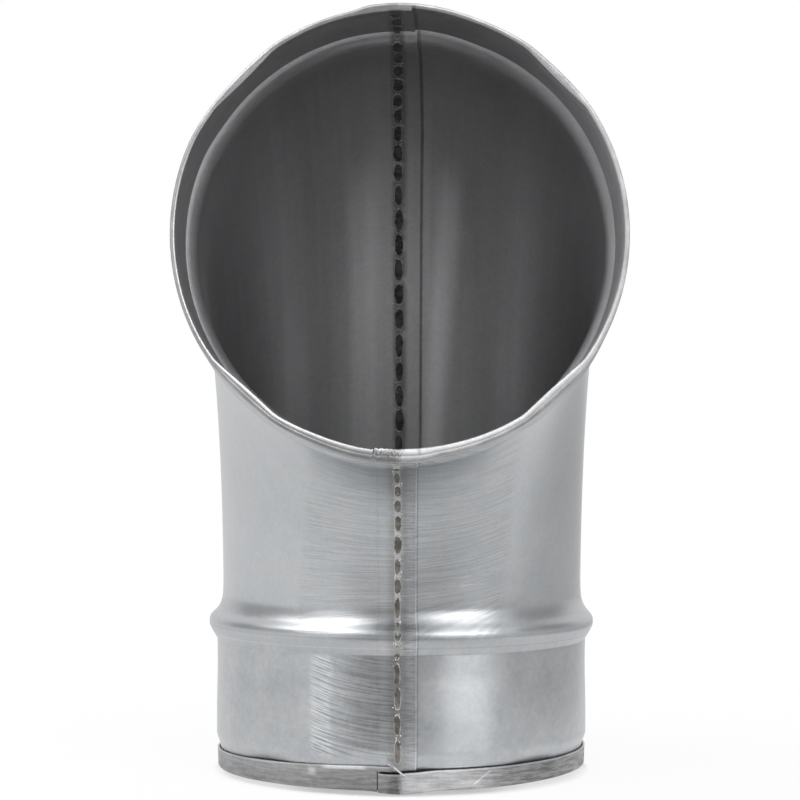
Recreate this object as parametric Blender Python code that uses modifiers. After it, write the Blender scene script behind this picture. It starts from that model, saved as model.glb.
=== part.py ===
"""Flue elbow: a 90 degree duct bend for a 100 mm system, pressed from galvanised sheet.

Two half shells are lapped and stitch welded along the throat and the heel of the bend.  Each
end is a spigot collar with a stop bead, a shallow neck and a hem folded outwards at the mouth.
The lower mouth lies in the plane z = 0 with its axis on +Z, and the upper mouth faces -Y.
Lengths are metres.  "Along" is the distance on the centreline from a mouth; "angle" turns
about the centreline from the throat (0) towards +X, and reaches the heel at pi.
"""

from math import asin, cos, inf, pi, radians, sin

import bmesh
import bpy
import numpy as np
from mathutils import Vector

MM = 0.001

# Duct
SHEET = 0.5 * MM
BEND_RADIUS = 97.0 * MM
BEND_ANGLE = radians(90.0)
LEG = 37.0 * MM
BODY_RADIUS = 48.05 * MM
BEND_STEP = radians(5.0)
FIRST_RADIAL_STEP = 4
TURNING_ROWS = ((50.0 * MM, 0.3), (56.0 * MM, 0.6), (63.0 * MM, 0.85))

# Spigot collar, outer face
HEM_WALL_RADIUS = 48.5 * MM
NECK_AT = 6.35 * MM
NECK_RADIUS = 48.67 * MM
COLLAR_RADIUS = 49.5 * MM
COLLAR_START = 9.6 * MM
COLLAR_END = 17.7 * MM
WAIST_AT = 28.5 * MM
WAIST_RADIUS = 49.3 * MM

# Stop bead, outer face
BEAD_START = 34.9 * MM
BEAD_START_RADIUS = 49.42 * MM
BEAD_SHOULDER_AT = 37.1 * MM
BEAD_SHOULDER_RADIUS = 50.75 * MM
BEAD_CREST_AT = 38.8 * MM
BEAD_CREST_RADIUS = 51.5 * MM
BEAD_BACK_AT = 42.0 * MM
BEAD_BACK_RADIUS = 49.6 * MM
BEAD_FADE_AT = 44.7 * MM
BEAD_FADE_RADIUS = 48.3 * MM
BEAD_END = 47.4 * MM
BEAD_END_RADIUS = 48.0 * MM
CREST_ROUNDING = 0.9 * MM
CREST_DROP = 0.22 * MM

# Hem folded outwards over the mouth
HEM_HEIGHT = 5.1 * MM
NECK_START = HEM_HEIGHT + 0.5 * MM
HEM_SPREAD = 0.65 * MM
FOLD_CREST = SHEET / 2
FOLD_CORNER = 0.19 * MM
FOLD_SHARE = 0.293

# Flats left between the segments of the expanding tool
FLAT_ANGLES = (radians(45.0), radians(135.0))
FLAT_HALF_ANGLE = radians(9.0)
FLAT_DEPTH_WALL = 0.95 * MM
FLAT_DEPTH_HEM = 0.37 * MM
FLAT_END = 9.6 * MM

# Lap of the half shells; distances run around the duct from the throat or heel line
LEFT_REACH = 4.1 * MM
RIGHT_REACH = 5.7 * MM
LAP_STEP = 0.95 * MM
LAP_CLEARANCE = 0.3 * MM
LAP_RAMP = 1.5 * MM
LAP_HEM_SPREAD = LAP_STEP + 0.15 * MM
LAP_CELLS = 2
FLANGE_END = 1.2 * MM
WELD_LINE_X = -0.8 * MM

# Stitch weld between the lapped flanges
WELD_THICKNESS = 0.14 * MM
NUGGET_WIDTH = 1.9 * MM
NUGGET_LENGTH = 5.0 * MM
NUGGET_TAPER = 0.6 * MM
NECK_WIDTH = 0.8 * MM
THROAT_PITCH = 6.4 * MM
HEEL_PITCH = 8.4 * MM
WELD_END = 2.0 * MM
LEAST_MARK_SPACING = 0.1 * MM

# Columns of the shells, around the duct from the middle of a flat
QUARTER_COLUMNS = tuple(map(radians, (-45, -33, -21, -9, -4.5, 0, 4.5, 9, 21, 33, 45)))

SHARP_ANGLE = radians(30.0)
ARC_RADIUS = COLLAR_RADIUS - SHEET / 2
LENGTH = 2 * LEG + BEND_RADIUS * BEND_ANGLE
CORNER = LEG + BEND_RADIUS
LEFT = -1
RIGHT = 1


def clear_scene():
    """Empties the startup scene."""
    for obj in list(bpy.data.objects):
        bpy.data.objects.remove(obj, do_unlink=True)


def metal(name, colour, roughness):
    """A plain metallic material."""
    material = bpy.data.materials.new(name)
    material.use_nodes = True
    shader = material.node_tree.nodes["Principled BSDF"]
    shader.inputs["Base Color"].default_value = (*colour, 1.0)
    shader.inputs["Metallic"].default_value = 1.0
    shader.inputs["Roughness"].default_value = roughness
    return material


def wall_profile():
    """(along, outer radius) of the wall from the fold of the hem to the plain body."""
    crest_side = BEAD_CREST_RADIUS - CREST_DROP
    return (
        (FOLD_CREST + FOLD_CORNER, HEM_WALL_RADIUS),
        (FLANGE_END, HEM_WALL_RADIUS),
        (NECK_START, HEM_WALL_RADIUS),
        (NECK_AT, NECK_RADIUS),
        (COLLAR_START, COLLAR_RADIUS),
        (COLLAR_END, COLLAR_RADIUS),
        (WAIST_AT, WAIST_RADIUS),
        (BEAD_START, BEAD_START_RADIUS),
        (BEAD_SHOULDER_AT, BEAD_SHOULDER_RADIUS),
        (BEAD_CREST_AT - CREST_ROUNDING, crest_side),
        (BEAD_CREST_AT, BEAD_CREST_RADIUS),
        (BEAD_CREST_AT + CREST_ROUNDING, crest_side),
        (BEAD_BACK_AT, BEAD_BACK_RADIUS),
        (BEAD_FADE_AT, BEAD_FADE_RADIUS),
        (BEAD_END, BEAD_END_RADIUS),
    )


def wall_radius(along):
    """Radius of the middle of the sheet, the same from either mouth."""
    stations, radii = zip(*wall_profile())
    from_mouth = min(along, LENGTH - along)
    body_start = TURNING_ROWS[0][0]
    outer = np.interp(from_mouth, (*stations, body_start), (*radii, BODY_RADIUS))
    return float(outer) - SHEET / 2


def wall_rows():
    """(along, turn) of every ring of the wall, from the lower mouth to the upper one.

    A ring with turn 0 is parallel to its mouth, as the collar and the rolled bead are.  One with
    turn 1 stands square to the bent centreline.
    """
    lower = [(along, 0.0) for along, _ in wall_profile()] + list(TURNING_ROWS)
    steps = round(BEND_ANGLE / BEND_STEP)
    radial = range(FIRST_RADIAL_STEP, steps - FIRST_RADIAL_STEP + 1)
    bend = [(LEG + BEND_RADIUS * BEND_STEP * step, 1.0) for step in radial]
    upper = [(LENGTH - along, turn) for along, turn in reversed(lower)]
    return lower + bend + upper


def on_duct(row, angle, radius):
    """The point of a ring at this angle and radius about the bent centreline."""
    along, turn = row
    far_end = along > LENGTH / 2
    from_mouth = LENGTH - along if far_end else along
    past_leg = max(from_mouth - LEG, 0.0)
    from_bend_axis = BEND_RADIUS - radius * cos(angle)
    level = asin(min(past_leg / from_bend_axis, 1.0))
    bend = level + turn * (past_leg / BEND_RADIUS - level)
    across = radius * sin(angle)
    depth = from_bend_axis * cos(bend) - BEND_RADIUS
    height = min(from_mouth, LEG) + from_bend_axis * sin(bend)
    if far_end:
        return Vector((across, height - CORNER, depth + CORNER))
    return Vector((across, depth, height))


def lap_share(distance, other_reach):
    """1 over the other shell's flange, falling to 0 on the joggle just past its edge."""
    return float(np.clip(1.0 - (distance - other_reach - LAP_CLEARANCE) / LAP_RAMP, 0.0, 1.0))


def flat_share(along, angle):
    """How far a flat is pressed in here, from 0 to 1."""
    fade = np.clip((FLAT_END - min(along, LENGTH - along)) / (FLAT_END - NECK_AT), 0.0, 1.0)
    across = max(max(0.0, 1.0 - abs(angle - middle) / FLAT_HALF_ANGLE) for middle in FLAT_ANGLES)
    return float(fade) * sin(across * pi / 2)


def hem_rows():
    """(along, share of the hem's spread) from the cut edge of the hem round to the wall."""
    corner = FOLD_CREST + FOLD_CORNER
    return [
        (HEM_HEIGHT, 1.0),
        (corner, 1.0),
        (FOLD_CREST, 1.0 - FOLD_SHARE),
        (FOLD_CREST, FOLD_SHARE),
    ]


def grid_object(name, points, material, thickness, removed=()):
    """Sheet metal: a grid carried onto rows of points, less some cells, and thickened."""
    rows = len(points)
    columns = len(points[0])
    mesh = bpy.data.meshes.new(name)
    grid = bmesh.new()
    bmesh.ops.create_grid(grid, x_segments=columns - 1, y_segments=rows - 1, size=1.0)
    cells = {}
    for face in grid.faces:
        middle = face.calc_center_median()
        column = int((middle.x + 1.0) / 2.0 * (columns - 1))
        row = int((middle.y + 1.0) / 2.0 * (rows - 1))
        cells[row, column] = face
    for vertex in grid.verts:
        column = round((vertex.co.x + 1.0) / 2.0 * (columns - 1))
        row = round((vertex.co.y + 1.0) / 2.0 * (rows - 1))
        vertex.co = points[row][column]
    bmesh.ops.delete(grid, geom=[cells[cell] for cell in removed], context="FACES")
    grid.to_mesh(mesh)
    grid.free()
    obj = bpy.data.objects.new(name, mesh)
    obj.data.materials.append(material)
    solidify = obj.modifiers.new("Sheet", "SOLIDIFY")
    solidify.thickness = thickness
    solidify.offset = 0.0
    solidify.use_even_offset = True
    solidify.use_quality_normals = True
    return obj


def shell_columns(reach, other_reach, weld_distance):
    """Angles of the columns, from the flange past the throat to the flange past the heel."""
    joggle_start = other_reach + LAP_CLEARANCE
    lap = [-reach, weld_distance, joggle_start, joggle_start + LAP_RAMP]
    throat = [distance / ARC_RADIUS for distance in lap]
    quarters = {round(middle + step, 9) for middle in FLAT_ANGLES for step in QUARTER_COLUMNS}
    wall = [angle for angle in sorted(quarters) if throat[-1] < angle < pi - throat[-1]]
    heel = [pi - angle for angle in reversed(throat)]
    return throat + wall + heel


def half_shell(name, side, reach, other_reach, outer_at_throat, material):
    """One pressed half: outer sheet of one lap, inner sheet of the other."""
    angles = shell_columns(reach, other_reach, side * WELD_LINE_X)
    hem = [((along, 0.0), share) for along, share in hem_rows()]
    wall = [(row, 0.0) for row in wall_rows()]
    far_hem = [((LENGTH - along, turn), share) for (along, turn), share in reversed(hem)]
    rows = hem + wall + far_hem
    points = []
    for row, hem_share in rows:
        along = row[0]
        ring = []
        for angle in angles:
            throat_share = lap_share(angle * ARC_RADIUS, other_reach)
            heel_share = lap_share((pi - angle) * ARC_RADIUS, other_reach)
            outer_share = throat_share if outer_at_throat else heel_share
            inner_share = heel_share if outer_at_throat else throat_share
            flat = FLAT_DEPTH_WALL + (FLAT_DEPTH_HEM - FLAT_DEPTH_WALL) * hem_share
            radius = wall_radius(along) + outer_share * LAP_STEP
            radius += hem_share * (HEM_SPREAD + inner_share * LAP_HEM_SPREAD)
            radius -= flat * flat_share(along, angle)
            ring.append(on_duct(row, side * angle, radius))
        points.append(ring)
    # The outer sheet of a lap has no hem there: its flange lies inside the other's hem.
    last = len(angles) - 2
    lap_columns = range(LAP_CELLS) if outer_at_throat else range(last, last - LAP_CELLS, -1)
    folded = len(hem) + 1
    mouth_rows = [*range(folded), *range(len(rows) - 1 - folded, len(rows) - 1)]
    removed = [(row, column) for row in mouth_rows for column in lap_columns]
    return grid_object(name, points, material, SHEET, removed)


def weld_seam(name, angle, pitch, material):
    """A row of flat nuggets joined by necks, in the gap between the lapped flanges."""
    first = (WELD_END, 0.0)
    last = (LENGTH - WELD_END, 0.0)
    between = [row for row in wall_rows() if first[0] < row[0] < last[0]]
    rows = [first, *between, last]
    guide = [on_duct(row, angle, wall_radius(row[0]) + LAP_STEP / 2) for row in rows]
    spans = [(b - a).length for a, b in zip(guide, guide[1:])]
    lengths = np.concatenate(([0.0], np.cumsum(spans)))
    count = int(lengths[-1] / pitch)
    margin = (lengths[-1] - (count - 1) * pitch) / 2
    half = NUGGET_LENGTH / 2
    centres = [margin + pitch * number for number in range(count)]
    outline = (-half, -half + NUGGET_TAPER, half - NUGGET_TAPER, half)
    marks = sorted({*lengths.tolist(), *(centre + edge for centre in centres for edge in outline)})
    spaced = zip(marks, [*marks[1:], inf])
    marks = [mark for mark, after in spaced if after - mark > LEAST_MARK_SPACING]
    axes = np.array(guide)
    points = []
    for mark in marks:
        middle = Vector([np.interp(mark, lengths, axes[:, axis]) for axis in range(3)])
        nearest = min(abs(mark - centre) for centre in centres)
        swell = float(np.clip((half - nearest) / NUGGET_TAPER, 0.0, 1.0))
        width = NECK_WIDTH + (NUGGET_WIDTH - NECK_WIDTH) * swell
        across = Vector((width / 2, 0.0, 0.0))
        points.append([middle - across, middle + across])
    return grid_object(name, points, material, WELD_THICKNESS)


def finish(obj, collection):
    """Keeps the thickened mesh and shades it smooth up to its folds."""
    collection.objects.link(obj)
    evaluated = obj.evaluated_get(bpy.context.evaluated_depsgraph_get())
    mesh = bpy.data.meshes.new_from_object(evaluated)
    mesh.name = obj.name
    obj.modifiers.clear()
    obj.data = mesh
    mesh.shade_smooth()
    mesh.set_sharp_from_angle(angle=SHARP_ANGLE)


def main():
    """Builds the two half shells and the two weld seams."""
    clear_scene()
    collection = bpy.data.collections.new("flue_elbow")
    bpy.context.scene.collection.children.link(collection)
    sheet = metal("galvanised_sheet", (0.62, 0.64, 0.67), 0.35)
    nugget = metal("weld_metal", (0.30, 0.28, 0.26), 0.5)
    throat_angle = WELD_LINE_X / ARC_RADIUS
    parts = (
        half_shell("left_half_shell", LEFT, LEFT_REACH, RIGHT_REACH, True, sheet),
        half_shell("right_half_shell", RIGHT, RIGHT_REACH, LEFT_REACH, False, sheet),
        weld_seam("throat_weld_seam", throat_angle, THROAT_PITCH, nugget),
        weld_seam("heel_weld_seam", pi - throat_angle, HEEL_PITCH, nugget),
    )
    for part in parts:
        finish(part, collection)


main()
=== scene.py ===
"""Looks of the flue elbow: two pressed galvanised half shells, lapped, hemmed and stitch welded.

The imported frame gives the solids.  Here each half shell is rebuilt as a finely divided sheet with a
rounded bead, a folded hem and a joggled lap, and the two weld seams get their nuggets, burn marks
and spatter.  "Along" is a distance on the centreline from the lower mouth, "angle" turns about it
from the throat (0) towards +X and reaches the heel at pi.  The elbow's lengths are millimetres up
to DuctPath.place, and the studio's are metres.
"""

import logging
import math
from collections.abc import Callable
from dataclasses import dataclass, field
from enum import Enum

import bmesh
import bpy
import numpy as np
from mathutils import Matrix, Vector


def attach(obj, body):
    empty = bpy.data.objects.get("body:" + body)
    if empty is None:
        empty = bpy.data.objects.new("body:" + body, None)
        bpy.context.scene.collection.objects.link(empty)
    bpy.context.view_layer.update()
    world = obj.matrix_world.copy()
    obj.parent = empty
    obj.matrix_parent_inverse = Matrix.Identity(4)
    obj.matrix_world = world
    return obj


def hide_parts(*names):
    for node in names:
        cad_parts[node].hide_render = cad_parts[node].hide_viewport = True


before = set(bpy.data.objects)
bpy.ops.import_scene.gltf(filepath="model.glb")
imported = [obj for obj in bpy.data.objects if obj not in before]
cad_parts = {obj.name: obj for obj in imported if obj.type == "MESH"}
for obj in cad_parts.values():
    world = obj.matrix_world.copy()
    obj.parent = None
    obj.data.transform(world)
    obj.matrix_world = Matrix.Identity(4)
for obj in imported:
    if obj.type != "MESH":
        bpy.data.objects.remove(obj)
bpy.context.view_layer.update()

MM = 0.001
LOG = logging.getLogger("flue_elbow")

# Sizes the pieces share, in millimetres
SHEET = 0.5
LAP_STEP = 0.53

OUT_OF_REACH = 1000.0

# Landmarks, in millimetres across from the seam or along from the lower mouth
WELD_LINE = -0.8
FLANGE_EDGE = 3.95
BURIED_EDGE = -5.7
LEG_END = 37.0
HALF_WAY = 113.2

Array = np.ndarray
Material = bpy.types.Material
Socket = bpy.types.NodeSocket
Colour = tuple[float, float, float, float]


def operator(operation: str, swapped: bool = False) -> Callable[["Value", object], "Value"]:
    """A method of Value for an operation on two operands, swapped where it is reflected."""
    return lambda one, other: one.operate(operation, *((other, one) if swapped else (one, other)))


class Value:
    """A number at a point of a shader, which takes part in ordinary arithmetic."""

    __add__ = __radd__ = operator("ADD")
    __sub__, __rsub__ = operator("SUBTRACT"), operator("SUBTRACT", swapped=True)
    __mul__ = __rmul__ = operator("MULTIPLY")
    __truediv__ = operator("DIVIDE")
    power = operator("POWER")
    larger = operator("MAXIMUM")

    def __init__(self, graph: "Graph", socket: Socket) -> None:
        """Wraps an output socket of the graph."""
        self.graph = graph
        self.socket = socket

    def operate(self, operation: str, *operands: object) -> "Value":
        """One Math node.

        Args:
            operation: the node's operation.
            operands: numbers or values, in the node's order.

        Returns:
            The node's result.
        """
        inputs = dict(enumerate(operands))
        node = self.graph.node("ShaderNodeMath", {"operation": operation}, inputs)
        return Value(self.graph, node.outputs[0])

    def __abs__(self) -> "Value":
        """Absolute value."""
        return self.operate("ABSOLUTE", self)

    def ramp(self, start: float, end: float) -> "Value":
        """A smooth step, held at 0 and 1 outside.

        Args:
            start: where the result is 0.
            end: where the result is 1, above or below the start.

        Returns:
            The step.
        """
        settings = {"interpolation_type": "SMOOTHSTEP"}
        (low, at_low), (high, at_high) = sorted(((start, 0.0), (end, 1.0)))
        inputs = {0: self, 1: low, 2: high, 3: at_low, 4: at_high}
        node = self.graph.node("ShaderNodeMapRange", settings, inputs)
        return Value(self.graph, node.outputs[0])

    def band(self, middle: object, outer: float, inner: float) -> "Value":
        """1 as near the middle as the inner distance, easing to 0 at the outer one."""
        return abs(self - middle).ramp(outer, inner)


class Graph:
    """The node tree of one material, or of the world."""

    def __init__(self, owner: bpy.types.ID) -> None:
        """Empties the owner's node tree.

        Args:
            owner: a material or a world.
        """
        owner.use_nodes = True
        self.owner = owner
        self.tree = owner.node_tree
        self.tree.nodes.clear()

    @classmethod
    def of_material(cls, name: str) -> "Graph":
        """The empty graph of a new material."""
        return cls(bpy.data.materials.new(name))

    def node(
        self, kind: str, settings: dict | None = None, inputs: dict | None = None
    ) -> bpy.types.Node:
        """Adds a node.

        Args:
            kind: the node's type name.
            settings: attributes, set before the sockets.
            inputs: socket name or index to a number, tuple, Value or socket.

        Returns:
            The node.
        """
        made = self.tree.nodes.new(kind)
        for key, setting in (settings or {}).items():
            setattr(made, key, setting)
        for key, given in (inputs or {}).items():
            source = given.socket if isinstance(given, Value) else given
            if isinstance(source, Socket):
                self.tree.links.new(source, made.inputs[key])
            else:
                made.inputs[key].default_value = source
        return made

    def split(self, vector: Socket) -> tuple[Value, Value, Value]:
        """The three parts of a vector."""
        parts = self.node("ShaderNodeSeparateXYZ", inputs={0: vector}).outputs
        return tuple(Value(self, part) for part in parts)

    def sheet(self) -> tuple[Value, Value, Value]:
        """The sheet's own coordinates.

        Returns:
            Millimetres across from the nearer seam, positive towards +X, millimetres along from
            the lower mouth, and the hem: 0 on the wall, 1 past the fold, 2 at the hem's edge.
        """
        source = self.node("ShaderNodeAttribute", {"attribute_name": "sheet"})
        return self.split(source.outputs["Vector"])

    def turn(self) -> Value:
        """How far round the point lies, 0 at the throat to 1 at the heel."""
        source = self.node("ShaderNodeAttribute", {"attribute_name": "turn"})
        return Value(self, source.outputs["Fac"])

    def vector(self, x: object, y: object, z: object) -> Socket:
        """Three values as one vector."""
        return self.node("ShaderNodeCombineXYZ", inputs={0: x, 1: y, 2: z}).outputs[0]

    def place(self) -> Socket:
        """Object coordinates."""
        return self.node("ShaderNodeTexCoord").outputs["Object"]

    def noise(
        self, vector: object, scale: float, detail: float = 2.0, roughness: float = 0.5
    ) -> Value:
        """Soft noise around 0.5, at a scale in features per unit."""
        inputs = {"Vector": vector, "Scale": scale, "Detail": detail, "Roughness": roughness}
        return Value(self, self.node("ShaderNodeTexNoise", inputs=inputs).outputs[0])

    def drawn(self, x: Value, y: Value, detail: float, roughness: float, z: object = 0.0) -> Value:
        """Noise of unit scale over stretched coordinates, so that it runs in lines."""
        return self.noise(self.vector(x, y, z), 1.0, detail, roughness)

    def blend(self, factor: object, first: object, second: object) -> Socket:
        """Mixes two colours by a factor."""
        settings = {"data_type": "RGBA", "clamp_factor": True}
        return self.node("ShaderNodeMix", settings, {0: factor, 6: first, 7: second}).outputs[2]

    def shade(self, colour: object, factor: object) -> Socket:
        """A colour times a number."""
        inputs = {0: colour, "Scale": factor}
        return self.node("ShaderNodeVectorMath", {"operation": "SCALE"}, inputs).outputs[0]

    def bump(self, height: Value, distance: float, strength: float) -> Socket:
        """A normal tilted by a height of 0 to 1, which stands for a distance in metres."""
        inputs = {"Height": height, "Distance": distance, "Strength": strength}
        return self.node("ShaderNodeBump", inputs=inputs).outputs[0]

    def principled(self, constants: dict, varying: dict) -> Material:
        """Closes the material with one Principled shader.

        Args:
            constants: socket name to number or colour.
            varying: socket name to value or socket.

        Returns:
            The material.
        """
        shader = self.node("ShaderNodeBsdfPrincipled", inputs={**constants, **varying})
        self.node("ShaderNodeOutputMaterial", inputs={"Surface": shader.outputs[0]})
        return self.owner


def rgb(red: float, green: float, blue: float) -> Colour:
    """An opaque linear colour."""
    return (red, green, blue, 1.0)


class SheetPlace:
    """Where a point lies on the sheet, in millimetres and shares, and the zinc's noises there."""

    def __init__(self, graph: Graph) -> None:
        """Reads the sheet's coordinates.

        Args:
            graph: the material's graph.
        """
        self.graph = graph
        self.across, self.along, self.folded = graph.sheet()
        self.off = abs(self.across)
        self.left = self.across.ramp(1.0, -1.0)
        self.from_mouth = HALF_WAY - abs(self.along - HALF_WAY)
        self.collar = self.along.ramp(41.0, 37.5)
        self.body = 1.0 - self.collar
        self.spigot = self.from_mouth.ramp(38.0, 34.0)
        self.hem = self.folded.ramp(0.0, 1.0)
        self.wall = 1.0 - self.hem
        turn = graph.turn()
        self.throat = turn.ramp(0.5, 0.35)
        self.to_heel = turn.ramp(0.62, 0.95)
        place = graph.place()
        self.cloud = graph.noise(place, 34.0, 3.0, 0.6)
        self.patch = graph.noise(place, 130.0, 3.0, 0.6)
        self.mottle = graph.noise(place, 620.0, 3.0, 0.65)
        self.grain = graph.noise(place, 1900.0, 2.0, 0.7)


@dataclass(frozen=True)
class Marks:
    """What sets one face of the sheet apart: changes to its looks, and where it is bare."""

    lightness: Value
    roughness: Value
    relief: Value | float = 0.0
    bare: Value | float = 0.0


@dataclass(frozen=True)
class ZincSheet:
    """Galvanised sheet: soft grey zinc with a fine grain, blotches, lap marks and worn hems, with
    painted highlights and shade at the laps, the bead and the hems.
    """

    name: str
    cool: Colour
    warm: Colour
    roughness: float
    mottling: float
    stain: float
    stain_width: float
    gap_half_width: float
    gap_shade_depth: float
    buried_depth: float
    bare_zinc: Colour = rgb(0.60, 0.62, 0.64)
    burnt_zinc: Colour = rgb(0.25, 0.24, 0.225)

    def marks(self, at: SheetPlace) -> Marks:
        """The marks of this face."""
        raise NotImplementedError

    def painted_lines_and_print(self, at: SheetPlace) -> Value:
        """Painted shade in the gap past the flange's edge, the buried edge's print, and painted rings
        of light and shade at the bead.

        Args:
            at: the place on the sheet.

        Returns:
            How much lighter the sheet is there.
        """
        half = self.gap_half_width
        # painted shade: a thin dark line just past the flange's edge, where the gap's shadow falls
        gap_shade = at.across.band(FLANGE_EDGE + 0.17 + half, half + 0.20, half) * at.wall
        buried = at.across.band(BURIED_EDGE, 0.5, 0.1) * at.throat
        # painted highlight on the left and painted shade on the right at the bead's root, and painted
        # shade along its crest
        ring = at.along.band(LEG_END - 0.3, 0.24, 0.08) * (at.left * 0.24 - 0.12)
        second = at.along.band(LEG_END + 2.1, 0.4, 0.1) * 0.10
        return ring - second - gap_shade * self.gap_shade_depth - buried * self.buried_depth

    def hem_wear_and_shade(self, at: SheetPlace) -> Value:
        """Scuffs, scrapes and dulling of the folded hem, painted shade in the dented tab at the lower
        throat seam, and painted light and shade on the crushed rim at the upper throat.

        The fold's own coordinate runs from 0 on the wall past 1 at the fold to 2 at the edge.

        Args:
            at: the place on the sheet.

        Returns:
            How much darker the hem is there.
        """
        across, folded, left = at.across, at.folded, at.left
        scuffed = at.graph.drawn(across * 0.13, at.along * 1.3, 4.0, 0.65, left * 5.0)
        from_seam = at.off.ramp(14.0, 34.0)
        right_dull = from_seam * 0.36 + 0.08 - at.off.ramp(40.0, 60.0) * 0.14
        dull = left * (0.38 - from_seam * 0.12) + (1.0 - left) * right_dull
        rub = across.band(-14.5, 7.0, 4.0) * folded.ramp(1.8, 1.88) * scuffed.ramp(0.3, 0.45)
        rub = rub + across.band(-23.5, 1.8, 0.2) * folded.band(1.7, 0.3, 0.0) * 0.7
        nick = across.band(19.6 + (folded - 1.2) * 6.5, 0.5, 0.1)
        nick = nick * folded.ramp(1.1, 1.2) * folded.ramp(1.9, 1.8)
        # painted shade: the dented tab beside the lower throat seam is darker
        dent_shade = across.band(-1.6, 2.6, 0.6) * 0.2
        at_seam = (dent_shade - rub * 0.6 - nick * 0.28) * at.collar * at.throat
        scuff = scuffed.ramp(0.36, 0.64) * (0.26 - left * 0.08)
        low_edge = left * ((2.0 - folded) * 0.14 - 0.05)
        worn = scuff + dull * (0.3 + at.collar * 0.7) + at_seam + low_edge + (at.grain - 0.5) * 0.2
        crushed = across.band(-2.6, 3.7, 2.6) * at.along.ramp(200.0, 210.0) * at.throat
        crushed = crushed * folded.ramp(0.05, 0.2) * folded.ramp(0.75, 0.6)
        # painted highlights and shade in dashes over the crushed rim, standing in for the light on
        # its crumples
        crumple_light_shade = at.graph.drawn(across * 2.2, folded * 5.0, 2.0, 0.7).ramp(0.36, 0.64) - 0.5
        return at.hem * worn - folded.ramp(1.88, 1.97) * 0.3 + crushed * (0.06 - crumple_light_shade * 0.8)

    def colour(self, at: SheetPlace, bare: Value | float) -> Socket:
        """Two tones of zinc in patches, bared at the weld and burnt beside it.

        Args:
            at: the place on the sheet.
            bare: how far the weld has bared the zinc.

        Returns:
            The colour.
        """
        zinc = at.graph.blend(at.patch.ramp(0.3, 0.7), self.cool, self.warm)
        bared = at.graph.blend(at.wall * bare * 0.4, zinc, self.bare_zinc)
        before_fold = 1.0 - at.folded.ramp(0.0, 0.15)
        near_weld = at.across.band(WELD_LINE, self.stain_width, 0.9) * before_fold
        burnt = near_weld * (1.0 - bare) * at.patch.ramp(0.28, 0.5) * self.stain
        return at.graph.blend(burnt, bared, self.burnt_zinc)

    def material(self) -> Material:
        """Builds the finish.

        Returns:
            The material.
        """
        graph = Graph.of_material(self.name)
        at = SheetPlace(graph)
        marks = self.marks(at)
        mottled = (at.mottle - 0.5) * (at.spigot * 0.14 + self.mottling)
        patched = at.patch * 0.10 + (at.patch - 0.5) * at.spigot * 0.20
        even = at.cloud * 0.10 + (at.grain - 0.5) * 0.22 + 0.93
        lightness = even + patched + mottled + self.painted_lines_and_print(at) + marks.lightness
        blotched = (at.cloud - 0.5) * 0.10 + (at.patch - 0.5) * 0.08 + at.hem * 0.08
        colour = self.colour(at, marks.bare)
        varying = {
            "Base Color": graph.shade(colour, lightness * (1.0 - self.hem_wear_and_shade(at))),
            "Roughness": blotched + marks.roughness + self.roughness,
            "Normal": graph.bump((at.grain + at.patch) * 0.4 + marks.relief, 0.04 * MM, 0.6),
        }
        return graph.principled({"Metallic": 1.0}, varying)


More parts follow.
